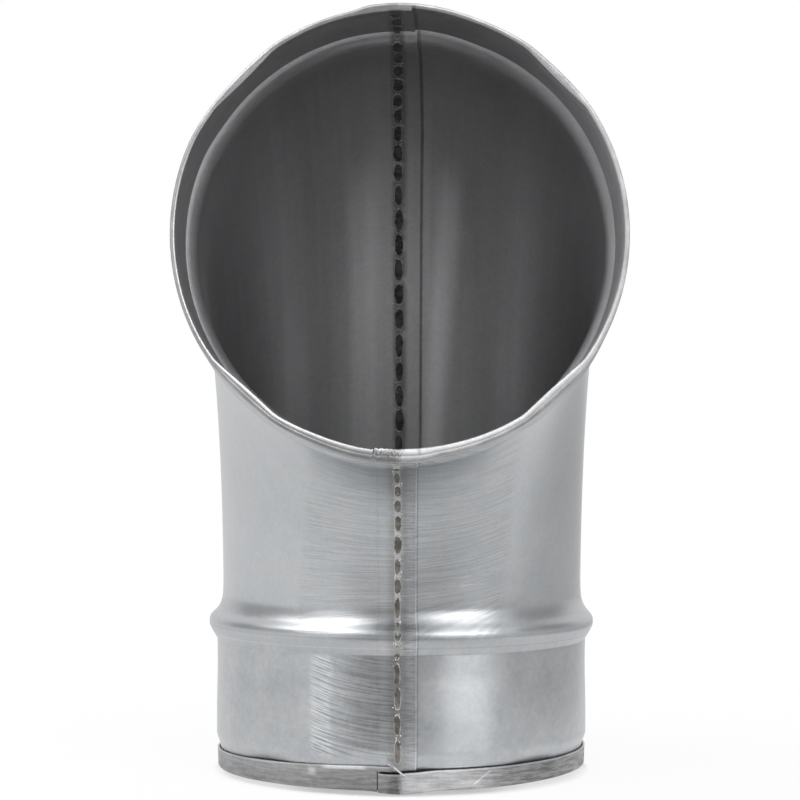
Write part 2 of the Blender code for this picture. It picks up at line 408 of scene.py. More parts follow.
@dataclass(frozen=True)
class OutsideZinc(ZincSheet):
    """The outer face: die scratches over the throat, and lighter patches on the collars that are
    painted highlights.
    """

    drawn_to: float = 28.0
    drawn_slope: float = 0.096
    collar_drawn_to: float = 22.0
    highlight_from: float = 19.0

    def scratch_lines(self, at: SheetPlace) -> Value:
        """Lines the press drew over the throat: arcs that sag towards the seam.

        Along a line the distance along the throat's surface, less a slope times the distance from
        the seam and a curve times its square, stays the same.  On the right the slope eases off
        away from the bead.

        Args:
            at: the place on the sheet.

        Returns:
            Noise drawn out along the arcs, around 0.5.
        """
        right = 1.0 - at.left
        surface = at.along - (at.along - LEG_END).larger(0.0) * 0.495
        slope = right * at.body * (0.10 + (60.0 - at.along) * 0.004) + at.collar * 0.04
        curve = (right * 0.0045 - 0.0025) * at.body + at.collar * 0.0065
        level = surface - at.off * slope - at.off * at.off * curve
        return at.graph.drawn(at.across * 0.05, level * 1.9, 2.0, 0.7)

    def marks(self, at: SheetPlace) -> Marks:
        """Scratches of the press on the body and the left collar, painted highlights on both collars,
        the flange's tool marks and burr, and painted shade under the bead and over the upper half.

        Args:
            at: the place on the sheet.

        Returns:
            The marks.
        """
        across, along, off, left = at.across, at.along, at.off, at.left
        at_throat = at.throat * at.wall
        lines = self.scratch_lines(at)
        wander = (at.patch - 0.5) * 3.0
        body_edge = self.drawn_to + (0.5 - left) * (along - 50.0) * self.drawn_slope
        on_body = (body_edge - off + wander * 2.0).ramp(-1.5, 2.5) * at.body
        ragged = off + wander * 0.3 + (lines - 0.5) * 5.0
        on_collar = ragged.ramp(self.collar_drawn_to + 2.6, self.collar_drawn_to) * left
        on_collar = on_collar * along.ramp(35.2, 33.6) * along.ramp(8.0, 10.5)
        drawn = (on_body + on_collar) * at_throat
        stroke = lines.ramp(0.40, 0.62) * drawn
        # painted highlight: the left collar's scratched band is lighter where the left lamp would
        # catch it
        highlight_edge = (off + wander * 1.3).ramp(self.highlight_from - 2.2, self.highlight_from)
        left_collar_highlight = highlight_edge * on_collar
        flange = across.ramp(0.4, 1.0) * across.ramp(FLANGE_EDGE + 0.3, FLANGE_EDGE) * at_throat
        tick = at.graph.drawn(across * 0.25, along * 2.3, 1.0, 0.5).ramp(0.40, 0.60) * flange
        burr = across.band(FLANGE_EDGE - 0.09, 0.26, 0.08) * at.wall * at.patch.ramp(0.3, 0.55)
        # painted highlight on the right collar, where the right lamp would catch it
        right_collar_highlight = across.band(17.0, 9.5, 3.0) * at.spigot * at.collar
        lightness = (
            drawn * (left * 0.05 - 0.02)
            - stroke * (0.15 + at.collar * 0.15)
            + (left_collar_highlight * (0.36 - stroke * 0.4) + right_collar_highlight * 0.12) * at.throat
            - (tick * 0.20 + flange * 0.02)
            + burr * 0.34
            # darker over the collars, and painted shade over the upper half of the duct, as under the
            # upper hem
            - (at.spigot * 0.05 + along.ramp(70.0, 98.0) * 0.055)
            # painted shade on the bead's underside and root
            - along.band(LEG_END - 0.4, 2.8, 1.2) * 0.09
        )
        behind_bead = at.from_mouth.band(LEG_END + 5.0, 6.0, 3.0)
        bare = across.band(WELD_LINE, 1.0, 0.5) * at.body
        return Marks(lightness, behind_bead * 0.05, stroke * 0.7 + tick * 0.6, bare)


@dataclass(frozen=True)
class InsideZinc(ZincSheet):
    """The inner face: rougher and painted lighter in the collar, with long soft bands of painted
    highlight beside the seam.
    """

    gleam_at: float = 13.0
    gleam_lean: float = 0.09

    def painted_gleams(self, at: SheetPlace) -> Value:
        """Painted highlights and shade: long soft bands beside the seam, running with the duct,
        darker close to it and lighter towards the sides.

        Args:
            at: the place on the sheet.

        Returns:
            How much lighter the sheet is there.
        """
        deep, low = at.along.ramp(142.0, 124.0), at.along.ramp(112.0, 85.0)
        gleam_at = self.gleam_at - (118.0 - at.along).larger(0.0) * self.gleam_lean
        thread = at.graph.drawn(at.across * 0.35, at.along * 0.012, 3.0, 0.6)
        return (
            at.off.ramp(36.0, 27.0) * -0.18
            + at.across.band(gleam_at, 5.8, 0.4) * deep * 0.46
            + at.across.band(-11.0, 6.0, 2.5) * deep * 0.17
            + at.off.band(33.0, 9.0, 2.0) * low * 0.20
            + at.off.ramp(44.0, 70.0) * 0.24
            + (thread - 0.5) * 0.22
        )

    def marks(self, at: SheetPlace) -> Marks:
        """The rougher flank behind the bead and the rougher collar, both with painted light, and the
        painted bands of highlight.

        Args:
            at: the place on the sheet.

        Returns:
            The marks.
        """
        near = at.from_mouth
        flank = near.ramp(49.0, 42.5) * near.ramp(36.0, 40.0) * (1.0 - at.to_heel * 0.92)
        collar = near.ramp(40.0, 38.0) * (0.80 - at.left * 0.58) * (1.0 - at.to_heel)
        # rougher there, and painted light: the lighter colour stands in for light coming in through
        # the mouth
        dull = flank * (1.5 - at.left * 0.78) + collar
        light = self.painted_gleams(at) * at.wall * near.ramp(45.0, 56.0)
        return Marks(dull * 0.3 + light, dull * 0.32)


@dataclass(frozen=True)
class BareZinc:
    """Clean bright zinc, as on a sheared edge or in drops beside a weld."""

    name: str
    grain: float
    grain_roughness: float
    dark: Colour
    light: Colour
    roughness: float
    spread: float

    def material(self) -> Material:
        """Builds the finish.

        Returns:
            The material.
        """
        graph = Graph.of_material(self.name)
        patch = graph.noise(graph.place(), self.grain, 2.0, self.grain_roughness)
        varying = {
            "Base Color": graph.blend(patch, self.dark, self.light),
            "Roughness": self.roughness + patch * self.spread,
        }
        return graph.principled({"Metallic": 1.0}, varying)


@dataclass(frozen=True)
class BurntWeld:
    """Resistance weld: brown-grey burnt zinc, rough in the middle."""

    name: str
    dark: Colour
    light: Colour
    outline: float = 0.8

    def material(self) -> Material:
        """Builds the finish.

        Returns:
            The material.
        """
        graph = Graph.of_material(self.name)
        ring = graph.sheet()[2]
        patch = graph.noise(graph.place(), 420.0, 3.0, 0.6)
        burnt = graph.blend(patch.ramp(0.35, 0.68), self.dark, self.light)
        rim = ring.ramp(0.80, 0.93) * patch.ramp(0.32, 0.52)
        colour = graph.blend(rim * self.outline, burnt, rgb(0.66, 0.67, 0.68))
        return graph.principled(
            {"Metallic": 0.85},
            {
                "Base Color": colour,
                "Roughness": 0.40 + patch * 0.25 - rim * 0.12,
                "Normal": graph.bump(patch, 0.0001, 0.6),
            },
        )


@dataclass(frozen=True)
class Finishes:
    """Every material of the elbow, made once."""

    outside: Material
    inside: Material
    edge: Material
    weld: Material
    weld_inside: Material
    spatter: Material

    @classmethod
    def make(cls) -> "Finishes":
        """Builds the materials.

        Returns:
            The finishes.
        """
        grey, pale = rgb(0.40, 0.40, 0.40), rgb(0.72, 0.73, 0.74)
        dim, bright = rgb(0.55, 0.56, 0.57), rgb(0.85, 0.86, 0.87)
        makers = (
            OutsideZinc(
                name="zinc_outside",
                cool=rgb(0.473, 0.490, 0.509),
                warm=rgb(0.481, 0.493, 0.504),
                roughness=0.34,
                mottling=0.16,
                stain=0.5,
                stain_width=3.4,
                gap_half_width=0.10,
                gap_shade_depth=0.25,
                buried_depth=0.05,
            ),
            InsideZinc(
                name="zinc_inside",
                cool=rgb(0.49, 0.493, 0.505),
                warm=rgb(0.50, 0.50, 0.503),
                roughness=0.36,
                mottling=0.28,
                stain=1.0,
                stain_width=2.4,
                gap_half_width=0.30,
                gap_shade_depth=0.44,
                buried_depth=0.04,
            ),
            BareZinc("sheared_edge", 1500.0, 0.6, grey, pale, 0.3, 0.2),
            BurntWeld("burnt_weld", rgb(0.125, 0.113, 0.10), rgb(0.255, 0.235, 0.21)),
            BurntWeld("burnt_weld_inside", rgb(0.05, 0.048, 0.045), rgb(0.16, 0.155, 0.15), 0.6),
            BareZinc("zinc_spatter", 700.0, 0.5, dim, bright, 0.22, 0.15),
        )
        return cls(*(maker.material() for maker in makers))


@dataclass(frozen=True)
class DuctPath:
    """The bent centreline and the rings that stand on it."""

    leg: float = 37.0
    bend_radius: float = 97.0
    bend_angle: float = math.pi / 2
    turning_along: tuple[float, ...] = (44.7, 50.0, 56.0, 63.0, 70.9)
    turning_share: tuple[float, ...] = (0.0, 0.3, 0.6, 0.85, 1.0)

    @property
    def length(self) -> float:
        """Length of the centreline."""
        return 2 * self.leg + self.bend_radius * self.bend_angle

    @property
    def corner(self) -> float:
        """Distance from each mouth to the axis of the other spigot."""
        return self.leg + self.bend_radius

    def from_mouth(self, along: Array) -> Array:
        """Distance from the nearer mouth."""
        return np.minimum(along, self.length - along)

    def place(self, along: Array, angle: Array, radius: Array) -> Array:
        """Points about the bent centreline, in metres.

        A point stands at its distance from the axis of the bend, turned about that axis by the
        bend angle.  Near the mouth the rings are level with the mouth, so the sine of that angle
        is the height above the leg over the distance from the bend's axis; further in the angle
        eases over to the centreline's own, length over radius.  The far half is the near half
        mirrored end for end.

        Args:
            along: distance on the centreline from the lower mouth.
            angle: turn about the centreline from the throat.
            radius: distance from the centreline.

        Returns:
            Points, with the coordinates on the last axis.
        """
        along, angle, radius = np.broadcast_arrays(along, angle, radius)
        near = self.from_mouth(along)
        past = np.maximum(near - self.leg, 0.0)
        reach = self.bend_radius - radius * np.cos(angle)
        level = np.arcsin(np.clip(past / reach, 0.0, 1.0))
        turn = np.interp(near, self.turning_along, self.turning_share)
        bend = level + turn * (past / self.bend_radius - level)
        across = radius * np.sin(angle)
        depth = reach * np.cos(bend) - self.bend_radius
        height = np.minimum(near, self.leg) + reach * np.sin(bend)
        lower = np.stack([across, depth, height], axis=-1)
        upper = np.stack([across, height - self.corner, depth + self.corner], axis=-1)
        return np.where((along > self.length / 2)[..., None], upper, lower) * MM


@dataclass(frozen=True)
class CollarProfile:
    """Outer radius of the sheet from the mouth to the plain body."""

    hem_wall: float = 48.5
    collar: float = 49.5
    bead_from: float = 35.0
    back_at: float = 42.6
    stations: tuple[tuple[str, float, float], ...] = (
        ("mouth", 0.0, 48.5),
        ("neck starts", 5.45, 48.5),
        ("neck", 6.35, 48.62),
        ("collar starts", 9.4, 49.5),
        ("collar ends", 17.7, 49.5),
        ("waist", 28.5, 49.3),
        ("bead starts", 35.0, 49.4),
        ("bead's shoulder", 37.1, 50.72),
        ("bead's crest starts", 38.75, 51.49),
        ("bead's crest ends", 40.1, 51.49),
        ("bead's brow", 40.9, 51.15),
        ("bead's back", 42.6, 49.52),
        ("bead fades", 44.3, 48.58),
        ("bead ends", 46.2, 48.12),
        ("body", 50.0, 47.93),
    )
    rounding: float = 0.75
    root_rounding: float = 0.35
    foot_rounding: float = 1.7

    def outer(self, from_mouth: Array) -> Array:
        """Radius of the outer face.

        Straight runs between the stations, each millimetres from the mouth and from the axis, are
        rounded by a raised-cosine average over a short window, shorter at the bead's root and
        longer at its foot on the body.

        Args:
            from_mouth: distance from the nearer mouth.

        Returns:
            The radius.
        """
        at, radii = np.array([station[1:] for station in self.stations]).T
        window = np.linspace(-1.0, 1.0, 11)
        weights = 1.0 + np.cos(math.pi * window)
        foot = smooth_step((from_mouth - self.back_at) / 2.5)
        rounding = self.rounding + foot * (self.foot_rounding - self.rounding)
        rounding = np.where(from_mouth < self.bead_from + 1.2, self.root_rounding, rounding)
        samples = np.interp(from_mouth[..., None] + window * rounding[..., None], at, radii)
        return (samples * weights).sum(axis=-1) / weights.sum()


class Side(Enum):
    """Which half of the elbow."""

    LEFT = -1
    RIGHT = 1


@dataclass(frozen=True)
class Lap:
    """How one half shell meets the other along the throat or the heel."""

    outer: bool
    reach: float
    far_reach: float
    ramp: float = 5.5
    notch: float = 0.3
    tongue_to: float = math.inf

    def covered(self, beyond: Array) -> Array:
        """How fully the sheets lie on each other this far past the notch, 1 to 0."""
        return 1.0 - smooth_step(beyond / self.ramp)


def side_across(across: Array, turn: Array) -> Array:
    """The distance from the throat seam, out of reach on the heel's half."""
    return np.where(turn > 0.5, OUT_OF_REACH, across)


def smooth_step(x: Array) -> Array:
    """Three x squared less two x cubed, held at 0 and 1."""
    held = np.clip(x, 0.0, 1.0)
    return held * held * (3.0 - 2.0 * held)


def fall(angle: Array, width: float) -> Array:
    """The squared cosine that falls from 1 at an angle of 0 to 0 at the width."""
    return np.cos(np.clip(angle / width, 0.0, 1.0) * math.pi / 2) ** 2


@dataclass(frozen=True)
class Wear:
    """How one half of the duct departs from a true round, by the angle from the throat."""

    flattened: float = 0.7
    flattened_to: float = math.radians(66.0)
    heel_pressed: float = 0.46
    heel_from: float = math.radians(112.0)
    heel_to: float = math.radians(126.0)
    lip: float = 1.15
    lip_to: float = math.radians(76.0)
    sway: float = 0.0
    hem_tall: float = 5.5
    hem_slope: float = 0.0
    hem_dip: float = 0.0
    lift_at_seam: float = 0.02
    lift: float = 0.75
    lift_slope: float = 0.0

    def inward(self, near: Array, angle: Array) -> Array:
        """How far the wall stands inside the true round.

        The collar is flattened at the throat and pressed towards the heel, both easing away
        behind the bead, and the body sways sideways with the sine of the angle.

        Args:
            near: distance from the nearer mouth.
            angle: angle from the throat.

        Returns:
            The distance.
        """
        collar = 1.0 - smooth_step((near - 40.0) / 18.0)
        heel = smooth_step((angle - self.heel_from) / (self.heel_to - self.heel_from))
        pressed = self.flattened * fall(np.abs(angle), self.flattened_to) + self.heel_pressed * heel
        body = smooth_step((near - 41.0) / 2.0)
        return collar * pressed - body * self.sway * np.sin(angle)

    def lip_inward(self, near: Array, angle: Array) -> Array:
        """How far the mouth's edge is bent in from the collar near the throat."""
        mouth = 1.0 - smooth_step((near - 2.2) / 5.0)
        return mouth * self.lip * fall(np.abs(angle), self.lip_to)

    def hem_height(self, angle: Array) -> Array:
        """Height of the hem's cut edge above the fold, lower where it runs past the seam.

        Args:
            angle: angle from the throat.

        Returns:
            The height.
        """
        past_seam = smooth_step((math.radians(1.5) - angle) / math.radians(2.5))
        slope = self.hem_slope * np.clip(angle, 0.0, math.pi / 2)
        return self.hem_tall - slope - self.hem_dip * past_seam

    def raised(self, angle: Array) -> Array:
        """How far the fold stands back from the mouth's plane, least at the seams.

        Args:
            angle: angle from the throat.

        Returns:
            The distance.
        """
        off = np.minimum(np.abs(angle), np.abs(math.pi - angle))
        rise = self.lift + self.lift_slope * np.minimum(off, 1.1) ** 2
        clear = smooth_step(off / math.radians(12.0))
        return self.lift_at_seam + (rise - self.lift_at_seam) * clear


@dataclass(frozen=True)
class Dent:
    """A local push of the hem near the throat seam, outward when positive."""

    across: float
    along: float
    half_width: float
    half_height: float
    push: float

    def at(self, across: Array, along: Array) -> Array:
        """The push at each place, a bell over its distance from the middle."""
        aside = (across - self.across) / self.half_width
        above = (along - self.along) / self.half_height
        return self.push * np.exp(-(aside**2) - above**2)


def grid_faces(keep: Array) -> Array:
    """Quads of a grid of points.

    Args:
        keep: for each cell, whether it has a face.

    Returns:
        Four point numbers for each face that is kept, rows by columns.
    """
    rows, columns = keep.shape
    numbers = np.arange((rows + 1) * (columns + 1)).reshape(rows + 1, columns + 1)
    corners = (numbers[:-1, :-1], numbers[:-1, 1:], numbers[1:, 1:], numbers[1:, :-1])
    return np.stack([corner[keep] for corner in corners], axis=-1)


def mesh_object(
    name: str,
    points: Array,
    faces: Array,
    sheet: Array,
    turn: Array,
    materials: tuple[Material, ...],
) -> bpy.types.Object:
    """An object from arrays, in the scene's collection.

    Args:
        name: object and mesh name.
        points: points in metres, coordinates on the last axis.
        faces: point numbers of each quad.
        sheet: for each point, its place on the sheet, kept as an attribute.
        turn: for each point, how far round it lies, kept as an attribute.
        materials: material slots.

    Returns:
        The object.
    """
    used, numbers = np.unique(faces, return_inverse=True)
    mesh = bpy.data.meshes.new(name)
    mesh.from_pydata(points.reshape(-1, 3)[used], [], numbers.reshape(faces.shape))
    attribute = mesh.attributes.new("sheet", "FLOAT_VECTOR", "POINT")
    attribute.data.foreach_set("vector", sheet.reshape(-1, 3)[used].astype(np.float32).ravel())
    round_it = mesh.attributes.new("turn", "FLOAT", "POINT")
    round_it.data.foreach_set("value", turn.ravel()[used].astype(np.float32))
    for material in materials:
        mesh.materials.append(material)
    made = bpy.data.objects.new(name, mesh)
    bpy.context.scene.collection.objects.link(made)
    return made


def settle(piece: bpy.types.Object, sharp_degrees: float) -> None:
    """Applies the modifiers and shades the piece smooth up to its sheared edges.

    Args:
        piece: the object.
        sharp_degrees: edges that turn more than this stay sharp.
    """
    evaluated = piece.evaluated_get(bpy.context.evaluated_depsgraph_get())
    mesh = bpy.data.meshes.new_from_object(evaluated)
    piece.modifiers.clear()
    piece.data = mesh
    mesh.name = piece.name
    mesh.shade_smooth()
    mesh.set_sharp_from_angle(angle=math.radians(sharp_degrees))


def close_up(piece: bpy.types.Object, sharp_degrees: float) -> None:
    """Joins the seams of closed forms, settles them and turns every one to face outwards.

    Args:
        piece: the object.
        sharp_degrees: edges that turn more than this stay sharp.
    """
    piece.modifiers.new("close", "WELD").merge_threshold = 0.001 * MM
    settle(piece, sharp_degrees)
    work = bmesh.new()
    work.from_mesh(piece.data)
    bmesh.ops.recalc_face_normals(work, faces=work.faces)
    work.to_mesh(piece.data)
    work.free()


@dataclass
class HalfShell:
    """One pressed half of the elbow, from its lap at the throat to its lap at the heel."""

    name: str
    node: str
    side: Side
    throat: Lap
    heel: Lap
    wear: Wear
    finishes: Finishes
    path: DuctPath = field(default_factory=DuctPath)
    profile: CollarProfile = field(default_factory=CollarProfile)
    hem_height: float = 5.1
    hem_spread: float = 0.65
    hem_clearance: float = 0.05
    crease: float = 0.16
    flat_depth_wall: float = 0.95
    flat_depth_hem: float = 0.37
    flat_half_angle: float = math.radians(10.5)
    flat_end: float = 10.0
    lower_flats: float = 0.45
    flare: float = 0.16
    open_share: float = 0.75
    crumple: float = 0.24
    tongue_from: float = 4.2
    slant_at: tuple[float, ...] = (0.0, 37.0, 50.0, 65.0, 80.0, 165.0, 200.0)
    slant_by: tuple[float, ...] = (-1.5, -0.6, 0.3, 0.8, 1.15, 1.15, 0.0)
    dents: tuple[Dent, ...] = ()
    seed: int = 3
    column_step: float = math.radians(1.5)

    @property
    def arc_radius(self) -> float:
        """Radius at which distances around the duct are measured."""
        return self.profile.collar - SHEET / 2

    def rows(self) -> tuple[Array, Array]:
        """The path of the sheet's middle from the lower hem's edge to the upper one's.

        The fold is half a circle between the hem and the wall, with a slight crease.

        Returns:
            Along, and the share of the hem's spread, for every row.
        """
        fold_radius = self.hem_spread / 2
        turn = np.linspace(0.0, math.pi, 17)
        fold_share = (1.0 + np.cos(turn)) / 2
        crease = self.crease * np.exp(-(((fold_share - 0.55) / 0.10) ** 2))
        fold_along = SHEET / 2 + fold_radius * (1.0 - np.sin(turn)) + crease
        hem_along = np.linspace(self.hem_height, fold_along[0] + 0.3, 10)
        wall = np.concatenate(
            [
                np.linspace(fold_along[-1] + 0.25, 10.0, 22),
                np.linspace(11.0, 33.5, 16),
                np.linspace(34.0, 36.4, 13)[:-1],
                np.linspace(36.4, 47.5, 31),
                np.linspace(49.0, self.path.turning_along[-1], 9),
            ]
        )
        along = np.concatenate([hem_along, fold_along, wall])
        share = np.concatenate([np.ones_like(hem_along), fold_share, np.zeros_like(wall)])
        bend = self.path.leg + self.path.bend_radius * np.radians(np.arange(22.0, 69.0, 2.0))
        return (
            np.concatenate([along, bend, self.path.length - along[::-1]]),
            np.concatenate([share, np.zeros_like(bend), share[::-1]]),
        )

    def columns(self) -> Array:
        """Distances around the duct on this shell's own side, from the throat line.

        Returns:
            The distance of each column, from the flange past the throat to the one past the heel.
        """
        half_turn = math.pi * self.arc_radius
        weld = self.side.value * WELD_LINE
        clear = 12.0

        def lap_columns(lap: Lap) -> Array:
            """The columns of one lap, from the flange's edge to where the plain ones start."""
            notch = lap.far_reach + lap.notch
            return np.concatenate(
                [
                    np.linspace(-lap.reach, weld, 13)[:-1],
                    np.linspace(weld, notch, 17)[:-1],
                    np.linspace(notch, clear, 13),
                ]
            )

        cells = round((half_turn - 2 * clear) / (self.column_step * self.arc_radius))
        plain = np.linspace(clear, half_turn - clear, cells + 1)[1:-1]
        at_throat, at_heel = lap_columns(self.throat), lap_columns(self.heel)
        return np.concatenate([at_throat, plain, half_turn - at_heel[::-1]])

    def flat_share(self, near: Array, angle: Array) -> Array:
        """How far the gaps of the expanding tool leave a flat here.

        Args:
            near: distance from the nearer mouth.
            angle: angle from the throat.

        Returns:
            The share of the flat's depth, 0 to 1.
        """
        fade = smooth_step((self.flat_end - near) / 4.0)
        off = np.minimum(np.abs(angle - math.pi / 4), np.abs(angle - 3 * math.pi / 4))
        return fade * np.cos(np.clip(off / self.flat_half_angle, 0.0, 1.0) * math.pi / 2) ** 0.9

    def set_rows(self, along: Array, share: Array, angle: Array) -> Array:
        """Moves the rows near a mouth: the hem to its own height, the fold back by the lift.

        Args:
            along: nominal distance of each row.
            share: share of the hem's spread.
            angle: angle of each column.

        Returns:
            The distance of every point.
        """
        near = self.path.from_mouth(along)
        fold = SHEET / 2 + self.hem_spread / 2
        tall = (self.wear.hem_height(angle) - fold) / (self.hem_height - fold)
        on_hem = (share == 1.0) & (near > fold)
        moved = np.where(on_hem, fold + (near - fold) * tall, near)
        moved = moved + self.wear.raised(angle) * (1.0 - smooth_step((near - 2.0) / 9.0))
        return np.where(along > self.path.length / 2, self.path.length - moved, moved)

    def slanted(self, around: Array, nominal: Array) -> Array:
        """Leans the inner flange's edge at the heel, and the notch it meets, along the duct.

        Both edges move to the side by the same distance, which the columns next to them share
        in proportion to how near they are.

        Args:
            around: distance of each column from the throat line.
            nominal: distance of each row from the lower mouth.

        Returns:
            The distance around the duct of every point.
        """
        across = self.side.value * (math.pi * self.arc_radius - around)
        knots = (WELD_LINE, 4.0, 4.3, 12.0)
        share = np.interp(across, knots, (0.0, 1.0, 1.0, 0.0))
        shift = np.interp(self.path.length - nominal, self.slant_at, self.slant_by)
        return around - self.side.value * shift * share

    def build(self) -> bpy.types.Object:
        """Builds the sheet as the middle surface of its rows and columns, then thickens it.

        The radius is the profile's less the wear, plus the joggle where this sheet lies outside
        the other, plus the hem's spread on the folded rows, less the flats.

        Returns:
            The piece.
        """
        nominal, share = (values[:, None] for values in self.rows())
        around = self.columns()[None, :]
        half_turn = math.pi * self.arc_radius
        angle = self.slanted(around, nominal) / self.arc_radius
        along = self.set_rows(nominal, share, angle)
        upper = nominal > self.path.length / 2
        near = self.path.from_mouth(nominal) + np.zeros_like(around)
        taller = self.wear.hem_height(angle) - self.hem_height
        neck_rise = taller * smooth_step((15.0 - near) / 8.0)
        outer = np.where(share > 0.0, self.profile.hem_wall, self.profile.outer(near - neck_rise))
        lip = self.wear.lip_inward(near, angle)
        radius = outer - SHEET / 2 - self.wear.inward(near, angle) - lip
        up_the_hem = np.where(share == 1.0, near / self.hem_height, 0.0)
        spread = self.hem_spread + lip * self.open_share + self.flare * up_the_hem**2
        keep = np.ones((nominal.size - 1, around.size - 1), dtype=bool)
        cell_near = np.maximum(near[:-1, :1], near[1:, :1])
        cell_share = np.maximum(share[:-1], share[1:])
        middle = (around[:, :-1] + around[:, 1:]) / 2
        for lap, distance, cell_distance in (
            (self.throat, around, middle),
            (self.heel, half_turn - around, half_turn - middle),
        ):
            covered = lap.covered(distance - lap.far_reach - lap.notch)
            if lap.outer:
                radius = radius + LAP_STEP * covered
                in_lap = cell_distance < lap.far_reach + lap.notch
                hemmed = (cell_share > 0.0) | (cell_near < 1.2)
                on_tongue = ~upper[:-1] & (cell_share == 1.0) & (cell_near > self.tongue_from)
                keep &= ~(in_lap & hemmed & ~(on_tongue & (cell_distance > lap.tongue_to)))
            else:
                spread = spread + (LAP_STEP + self.hem_clearance) * covered
        flat = self.flat_depth_wall + (self.flat_depth_hem - self.flat_depth_wall) * share
        flat = flat * np.where(upper, 1.0, self.lower_flats)
        radius = radius + share * spread - flat * self.flat_share(near, angle)
        across = self.side.value * np.minimum(around, half_turn - around)
        turn = np.clip(around / half_turn, 0.0, 1.0)
        jagged = np.random.default_rng(self.seed).uniform(-1.0, 1.0, around.size)
        at_rim = np.where(upper & (turn < 0.5), np.exp(-((near / 1.3) ** 2)), 0.0)
        radius = radius + self.crumple * at_rim * jagged * fall(np.abs(across + 3.0), 6.0)
        for dent in self.dents:
            radius = radius + share * dent.at(side_across(across, turn), along)
        points = self.path.place(along, self.side.value * angle, radius)
        fold = SHEET / 2 + self.hem_spread / 2
        to_edge = np.where(share == 1.0, (near - fold) / (self.hem_height - fold), 0.0)
        across, turn, along, folds = np.broadcast_arrays(across, turn, along, share + to_edge)
        chart = np.stack([across, along, folds], axis=-1)
        slots = (self.finishes.outside, self.finishes.inside, self.finishes.edge)
        piece = mesh_object(self.name, points, grid_faces(keep), chart, turn, slots)
        self.thicken(piece)
        settle(piece, 40.0)
        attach(piece, "root")
        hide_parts(self.node)
        LOG.info("%s: %d faces", self.name, len(piece.data.polygons))
        return piece

    def thicken(self, piece: bpy.types.Object) -> None:
        """Gives the sheet its thickness, with its own slots for the inner face and the edge.

        Args:
            piece: the half shell's middle surface.
        """
        if self.side is Side.LEFT:
            piece.data.flip_normals()
        wall = piece.modifiers.new("sheet", "SOLIDIFY")
        wall.thickness = SHEET * MM
        wall.offset = 0.0
        wall.use_even_offset = True
        wall.use_quality_normals = True
        wall.material_offset = 1
        wall.material_offset_rim = 2


@dataclass
class TornLip:
    """The bright sliver where the left hem tore at the lower seam and curled out."""

    finish: Material
    name: str = "torn_hem_lip"
    across: tuple[float, ...] = (-3.4, -2.7, -1.7, -0.7, 0.5, 1.7)
    height: tuple[float, ...] = (7.75, 7.8, 7.3, 6.4, 5.4, 4.9)
    stand: tuple[float, ...] = (49.5, 49.9, 50.2, 50.3, 50.1, 49.9)
    half_thick: float = 0.25
    half_wide: float = 0.42
    path: DuctPath = field(default_factory=DuctPath)

    def build(self) -> bpy.types.Object:
        """Sweeps a flat oval along the tear, thinning to nothing at both ends.

        The oval's short side lies in the sheet, square to the tear, and its long side points out.

        Returns:
            The piece.
        """
        step = np.linspace(0.0, 1.0, 41)[:, None]
        knots = np.linspace(0.0, 1.0, len(self.across))
        across, height, stand = (
            np.interp(step, knots, values) for values in (self.across, self.height, self.stand)
        )
        run, rise = np.gradient(across[:, 0])[:, None], np.gradient(height[:, 0])[:, None]
        span = np.hypot(run, rise)
        turn = np.linspace(0.0, 2.0 * math.pi, 17)[None, :]
        size = np.sqrt(np.clip(1.0 - (2.0 * step - 1.0) ** 6, 0.0, 1.0))
        aside = self.half_thick * size * np.cos(turn)
        radius = stand + self.half_wide * size * np.sin(turn)
        angle = (across - aside * rise / span) / stand
        points = self.path.place(height + aside * run / span, angle, radius)
        chart = np.stack(np.broadcast_arrays(across, height, 1.0 + 0.0 * turn), axis=-1)
        cells = grid_faces(np.ones((step.size - 1, turn.size - 1), dtype=bool))
        at_throat = np.zeros(chart.shape[:2])
        piece = mesh_object(self.name, points, cells, chart, at_throat, (self.finish,))
        close_up(piece, 60.0)
        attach(piece, "root")
        LOG.info("%s: %d faces", self.name, len(piece.data.polygons))
        return piece


class Face(Enum):
    """Which face of the duct a seam shows on."""

    OUTSIDE = 1
    INSIDE = -1


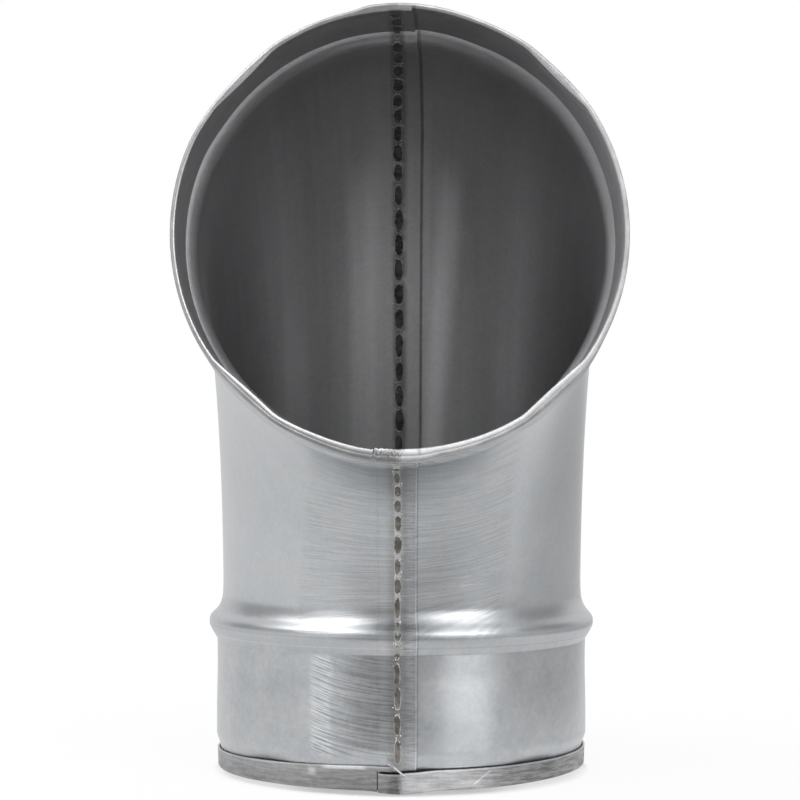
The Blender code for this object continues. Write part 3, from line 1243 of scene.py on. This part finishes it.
@dataclass
class WeldSeam:
    """One row of weld nuggets, as it shows on both faces of the lap."""

    name: str
    node: str
    at_throat: bool
    finishes: Finishes
    wear: Wear
    first_pitch: float
    last_pitch: float
    seed: int
    path: DuctPath = field(default_factory=DuctPath)
    profile: CollarProfile = field(default_factory=CollarProfile)
    end: float = 7.4
    width_outside: float = 1.75
    width_inside: float = 2.5
    fill: float = 0.93
    fill_inside: float = 0.99
    rise: float = 0.055
    drift: float = 0.14
    squareness: float = 2.4
    clearance: float = 0.015
    spatter_per_nugget: int = 5

    def surface(self, face: Face, along: Array) -> Array:
        """Radius of the visible sheet.

        Args:
            face: face of the duct.
            along: distance on the centreline.

        Returns:
            The radius.
        """
        near = self.path.from_mouth(along)
        angle = np.array(0.0 if self.at_throat else math.pi)
        outer = self.profile.outer(near) - self.wear.inward(near, angle)
        if face is Face.OUTSIDE:
            return outer + LAP_STEP
        return outer - SHEET - self.wear.lip_inward(near, angle)

    def line(self, face: Face) -> tuple[Array, Array]:
        """The seam on that face.

        Args:
            face: face of the duct.

        Returns:
            Along for 2000 samples, and the length of the seam up to each.
        """
        along = np.linspace(0.8, self.path.length - 0.8, 2000)
        angle = 0.0 if self.at_throat else math.pi
        points = self.path.place(along, np.array(angle), self.surface(face, along))
        spans = np.linalg.norm(np.diff(points, axis=0), axis=1) / MM
        return along, np.concatenate([[0.0], np.cumsum(spans)])

    def centres(self, face: Face, random: np.random.Generator) -> tuple[Array, Array]:
        """Nuggets spaced by a pitch that eases from one end to the other.

        The spacing is set out once, on the face that is easiest to see, and carried to the other.

        Args:
            face: face of the duct.
            random: source of the uneven spacing.

        Returns:
            The length on the face at each nugget, and the pitch there.
        """
        seen = Face.OUTSIDE if self.at_throat else Face.INSIDE
        along, lengths = self.line(seen)
        first, last = np.interp([self.end, self.path.length - self.end], along, lengths)
        count = round(2.0 * (last - first) / (self.first_pitch + self.last_pitch))
        pitch = np.linspace(self.first_pitch, self.last_pitch, count)
        pitch = pitch * (1.0 + random.uniform(-0.14, 0.14, count))
        edges = np.concatenate([[0.0], np.cumsum(pitch)]) / pitch.sum()
        edge_along = np.interp(first + edges * (last - first), lengths, along)
        own_along, own_lengths = self.line(face)
        on_face = np.interp(edge_along, own_along, own_lengths)
        return (on_face[1:] + on_face[:-1]) / 2, np.diff(on_face)

    def lenses(
        self,
        name: str,
        face: Face,
        at: Array,
        offset: Array,
        size: Array,
        rise: Array,
        material: Material,
        power: float,
        dished: bool = False,
    ) -> bpy.types.Object:
        """Flat lenses that follow the sheet.

        Each is a ring grid: a superellipse of the given half sizes, whose height falls from the
        rise at the middle to the sheet at the edge, closed underneath by the same outline just
        below the sheet.  A dished one is low in the middle, with a raised rim.

        Args:
            name: piece name.
            face: face of the duct.
            at: length along the seam of each lens.
            offset: distance of each from the weld line, around the duct.
            size: half length and half width of each, on the last axis.
            rise: height of each above the sheet.
            material: finish.
            power: 2 for an ellipse, more for a squarer outline.
            dished: whether the middle is pressed down.

        Returns:
            The piece.
        """
        ring = np.array([0.0, 0.45, 0.72, 0.86, 0.95, 1.0, 0.9, 0.0])
        domed = np.array([1.0, 0.85, 0.55, 0.3, 0.12, 0.0, -1.0, -1.2])
        rimmed = np.array([0.25, 0.25, 0.4, 1.0, 0.6, 0.0, -1.0, -1.2])
        level = rimmed if dished else domed
        turn = np.linspace(0.0, 2 * math.pi, 21)
        cosine, sine = np.cos(turn), np.sin(turn)
        lengthwise = np.sign(cosine) * np.abs(cosine) ** (2.0 / power)
        crosswise = np.sign(sine) * np.abs(sine) ** (2.0 / power)
        shape = (at.size, ring.size, turn.size)
        a = at[:, None, None] + size[:, 0, None, None] * ring[:, None] * lengthwise
        b = offset[:, None, None] + size[:, 1, None, None] * ring[:, None] * crosswise
        along, lengths = self.line(face)
        place_along = np.interp(a, lengths, along)
        surface = self.surface(face, place_along)
        height = rise[:, None, None] * np.broadcast_to(level[:, None], shape) + self.clearance
        radius = surface + face.value * height
        angle = (WELD_LINE + b) / surface
        if not self.at_throat:
            angle = math.pi - angle
        points = self.path.place(place_along, angle, radius)
        from_middle = np.broadcast_to(ring[:, None], shape)
        chart = np.stack([b, place_along, from_middle], axis=-1)
        cells = grid_faces(np.ones((shape[1] - 1, shape[2] - 1), dtype=bool))
        first = np.arange(at.size) * shape[1] * shape[2]
        faces = (cells[None] + first[:, None, None]).reshape(-1, 4)
        turn = np.full(shape, 0.0 if self.at_throat else 1.0)
        piece = mesh_object(name, points, faces, chart, turn, (material,))
        close_up(piece, 180.0)
        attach(piece, "root")
        LOG.info("%s: %d lenses", name, at.size)
        return piece

    def build(self) -> None:
        """Builds the nuggets and the spatter on both faces."""
        for face in Face:
            random = np.random.default_rng(self.seed)
            label = f"{self.name}_{face.name.lower()}"
            outside = face is Face.OUTSIDE
            at, pitch = self.centres(face, random)
            width = self.width_outside if outside else self.width_inside
            fill = self.fill if outside else self.fill_inside
            half_length = pitch / 2 * fill * random.uniform(0.88, 1.06, at.size)
            half_width = width / 2 * random.uniform(0.85, 1.12, at.size)
            size = np.stack([half_length, half_width], axis=-1)
            drift = random.uniform(-1.0, 1.0, at.size) * self.drift
            finish = self.finishes.weld if outside else self.finishes.weld_inside
            rise = np.full(at.size, self.rise)
            name = f"{label}_nuggets"
            nuggets = self.lenses(name, face, at, drift, size, rise, finish, self.squareness, True)
            if outside:
                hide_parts(self.node)
            count = at.size * self.spatter_per_nugget
            home = random.integers(0, at.size, count)
            spots = at[home] + pitch[home] * (0.5 + random.normal(0.0, 0.13, count))
            hand = random.choice([-1.0, 1.0], count)
            sideways = hand * random.uniform(0.2, 1.0, count) * 0.62 * width
            radii = random.uniform(0.07, 0.2, count)
            grains = np.stack([radii * random.uniform(1.0, 2.2, count), radii], axis=-1)
            name, rise, finish = f"{label}_spatter", radii * 0.6, self.finishes.spatter
            self.lenses(name, face, spots, sideways, grains, rise, finish, 2.0)


@dataclass(frozen=True)
class SoftBox:
    """A lamp with a plain face, aimed at the elbow."""

    name: str
    azimuth: float
    elevation: float
    width: float
    height: float
    radiance: float
    distance: float = 1.3
    target: tuple[float, float, float] = (0.0, -0.03, 0.09)

    def build(self) -> None:
        """Hangs the lamp: azimuth turns from the camera's side towards +X, in degrees.

        Its power is pi times its area times its radiance.
        """
        azimuth, elevation = math.radians(self.azimuth), math.radians(self.elevation)
        level = math.cos(elevation)
        away = Vector((math.sin(azimuth) * level, -math.cos(azimuth) * level, math.sin(elevation)))
        data = bpy.data.lights.new(self.name, "AREA")
        data.shape = "RECTANGLE"
        data.size = self.width
        data.size_y = self.height
        data.energy = math.pi * self.width * self.height * self.radiance
        made = bpy.data.objects.new(self.name, data)
        facing = (-away).to_track_quat("-Z", "Y")
        at = Vector(self.target) + away * self.distance
        made.matrix_world = Matrix.Translation(at) @ facing.to_matrix().to_4x4()
        bpy.context.scene.collection.objects.link(made)


@dataclass
class Studio:
    """A pale floor and backdrop, soft lamps at both sides and a level camera."""

    camera_at: tuple[float, float, float] = (1.85 * MM, -637.6 * MM, 99.0 * MM)
    yaw: float = math.radians(0.203)
    pitch: float = math.radians(0.05)
    roll: float = math.radians(0.062)
    lens: float = 106.43
    sensor_width: float = 36.0
    clip_start: float = 0.05
    floor_half: float = 7.0
    floor_height: float = -0.4 * MM
    backdrop_at: float = 2.0
    backdrop_half: float = 3.0
    backdrop_heights: tuple[float, float] = (-0.1, 4.0)
    # tones of the painted shade on the floor
    front_shade_tone: float = 0.42
    right_shade_tone: float = 0.62
    close_shade: float = 0.14
    near_share: float = 0.9
    bore_share: float = 0.20
    bore_radius: float = 0.05
    glow: float = 0.18
    glow_left: float = 0.14
    glow_front: float = 0.07
    glow_up: float = 0.55
    glow_sides: float = 0.75
    glow_right: float = 0.3
    sides_below: float = 0.4
    lamps: tuple[SoftBox, ...] = (
        SoftBox("left_low", -45.0, 14.0, 0.34, 0.60, 2.4),
        SoftBox("left_mid", -40.0, 40.0, 0.56, 0.62, 3.4),
        SoftBox("left_high", -72.0, 50.0, 0.70, 0.76, 3.2),
        SoftBox("right_low", 36.0, 15.0, 0.70, 0.64, 4.9),
        SoftBox("right_high", 43.0, 50.0, 0.95, 0.78, 2.1),
        SoftBox("overhead", -18.0, 66.0, 1.9, 0.46, 1.35),
    )

    def camera(self) -> None:
        """Stands the camera before the upper mouth, almost level."""
        data = bpy.data.cameras.new("camera")
        data.lens = self.lens
        data.sensor_width = self.sensor_width
        data.clip_start = self.clip_start
        made = bpy.data.objects.new("camera", data)
        tilt = math.radians(90.0) - self.pitch
        turn = Matrix.Rotation(self.yaw, 4, "Z") @ Matrix.Rotation(tilt, 4, "X")
        roll = Matrix.Rotation(self.roll, 4, "Z")
        made.matrix_world = Matrix.Translation(self.camera_at) @ turn @ roll
        bpy.context.scene.collection.objects.link(made)
        bpy.context.scene.camera = made

    @staticmethod
    def pale(graph: Graph, share: object, tone: object) -> Material:
        """A white matt surface that shows as plain white to the camera and to gloss.

        Args:
            graph: the material's graph.
            share: how much of what is seen is the flat white, the rest being lit.
            tone: paleness, 1 for white.

        Returns:
            The material.
        """
        rays = graph.node("ShaderNodeLightPath").outputs
        kinds = ("Is Camera Ray", "Is Glossy Ray", "Is Transmission Ray")
        camera, glossy, through = (Value(graph, rays[kind]) for kind in kinds)
        seen = camera.larger(glossy).larger(through) * share
        paint = graph.blend(tone, rgb(0, 0, 0), rgb(0.88, 0.88, 0.88))
        matt = graph.node("ShaderNodeBsdfDiffuse", inputs={"Color": paint})
        white = graph.node("ShaderNodeEmission", inputs={"Color": rgb(1, 1, 1), "Strength": tone})
        mixed = {0: seen, 1: matt.outputs[0], 2: white.outputs[0]}
        both = graph.node("ShaderNodeMixShader", inputs=mixed)
        graph.node("ShaderNodeOutputMaterial", inputs={"Surface": both.outputs[0]})
        return graph.owner

    def floor_paint(self) -> Material:
        """The floor: white, easing to a painted shade of grey before the elbow and at its right.

        A slight painted shade lies close before the right half.  The flat white share is whole far
        away, a little less near the elbow to keep its shadow, and small within the lower mouth, a
        painted shade where little light comes in, with painted pools of light in its front half and
        towards both sides.

        Returns:
            The material.
        """
        graph = Graph.of_material("pale_floor")
        x, y, _ = graph.split(graph.place())
        ahead, distance = 0.0 - y, (x * x + y * y).power(0.5)
        toward = ahead / distance
        # painted shade on the floor: grey before the elbow, at its right, and slightly close before
        # the right half
        front = toward.ramp(0.78, 0.93) * distance.ramp(0.07, 0.15)
        right = (x - y.larger(0.0) * 0.25).ramp(0.125, 0.165) * toward.ramp(0.78, 0.55)
        close = ahead.ramp(0.055, 0.09) * ahead.ramp(0.17, 0.14) * x.ramp(0.0, 0.05)
        tone = 1.0 - front * (1.0 - self.front_shade_tone) - right * (1.0 - self.right_shade_tone)
        tone = tone - close * self.close_shade
        outer = self.near_share + distance.ramp(0.12, 0.5) * (1.0 - self.near_share)
        # painted shade and light within the lower mouth: a small white share, more in the front half
        # and most towards both sides
        sides = abs(x).ramp(0.018, 0.034)
        within = self.bore_share + y.ramp(0.006, -0.006) * (0.27 + sides * 0.22)
        inner = distance.ramp(self.bore_radius + 0.001, self.bore_radius - 0.001)
        return self.pale(graph, outer + inner * (within - outer), tone)

    def panel(self, name: str, corners: Array, material: Material) -> None:
        """One flat stage panel.

        Args:
            name: object name.
            corners: its four corners.
            material: its paint.
        """
        flat, face = corners * 0.0, np.array([[0, 1, 2, 3]])
        made = mesh_object(name, corners, face, flat, flat[:, 0], (material,))

    def sky(self) -> None:
        """The soft light all round.

        Its brightness grows with the square of the upward, leftward and forward parts of the
        direction, and towards the horizon at both sides.
        """
        world = bpy.data.worlds.new("studio")
        bpy.context.scene.world = world
        graph = Graph(world)
        x, y, z = graph.split(graph.node("ShaderNodeTexCoord").outputs["Generated"])
        left, front, up = (0.0 - x).larger(0.0), (0.0 - y).larger(0.0), z.larger(0.0)
        low = (self.sides_below - abs(z)).larger(0.0)
        sides = low * x * x * (self.glow_sides + x * self.glow_right)
        glow = self.glow + left * left * self.glow_left + front * front * self.glow_front
        glow = glow + up * up * self.glow_up + sides
        light = graph.node("ShaderNodeBackground", inputs={"Color": rgb(1, 1, 1), "Strength": glow})
        graph.node("ShaderNodeOutputWorld", inputs={"Surface": light.outputs[0]})

    def build(self) -> None:
        """Sets the stage, the lamps, the world and the view."""
        half, low, back = self.floor_half, self.floor_height, self.backdrop_at
        floor = np.array(
            [[-half, -half, low], [half, -half, low], [half, half, low], [-half, half, low]]
        )
        self.panel("floor", floor, self.floor_paint())
        side, foot, top = self.backdrop_half, *self.backdrop_heights
        wall = np.array(
            [[-side, back, foot], [side, back, foot], [side, back, top], [-side, back, top]]
        )
        self.panel("backdrop", wall, self.pale(Graph.of_material("pale_backdrop"), 1.0, 1.0))
        for lamp in self.lamps:
            lamp.build()
        self.sky()
        bpy.context.scene.view_settings.view_transform = "Standard"
        self.camera()


def main() -> None:
    """Builds the elbow and the studio."""
    logging.basicConfig(level=logging.INFO, format="%(message)s")
    Studio().build()
    finishes = Finishes.make()
    left_reach, right_reach = 4.0, 5.7
    left_wear = Wear(
        lip=1.6,
        sway=-0.19,
        hem_tall=6.9,
        hem_slope=1.2,
        lift=0.85,
        lift_at_seam=0.3,
    )
    right_wear = Wear(
        heel_from=math.radians(122.0),
        heel_to=math.radians(182.0),
        lip=1.4,
        lip_to=math.radians(84.0),
        sway=0.12,
        hem_dip=0.4,
        lift_slope=0.5,
    )
    HalfShell(
        "left_shell",
        "left_half_shell",
        Side.LEFT,
        Lap(True, left_reach, right_reach, ramp=16.0, tongue_to=2.2),
        Lap(False, left_reach, right_reach),
        left_wear,
        finishes,
    ).build()
    HalfShell(
        "right_shell",
        "right_half_shell",
        Side.RIGHT,
        Lap(False, right_reach, left_reach),
        Lap(True, right_reach, left_reach, ramp=16.0, notch=0.06),
        right_wear,
        finishes,
        dents=(
            Dent(-3.5, 4.0, 1.0, 1.1, 0.4),
            Dent(-1.4, 4.0, 1.0, 2.6, -0.38),
            Dent(1.2, 2.5, 0.8, 1.4, 0.3),
        ),
    ).build()
    WeldSeam("throat_weld", "throat_weld_seam", True, finishes, right_wear, 6.4, 6.4, 5).build()
    WeldSeam("heel_weld", "heel_weld_seam", False, finishes, right_wear, 7.2, 10.0, 8).build()
    TornLip(finishes.edge).build()


if __name__ == "__main__":
    main()
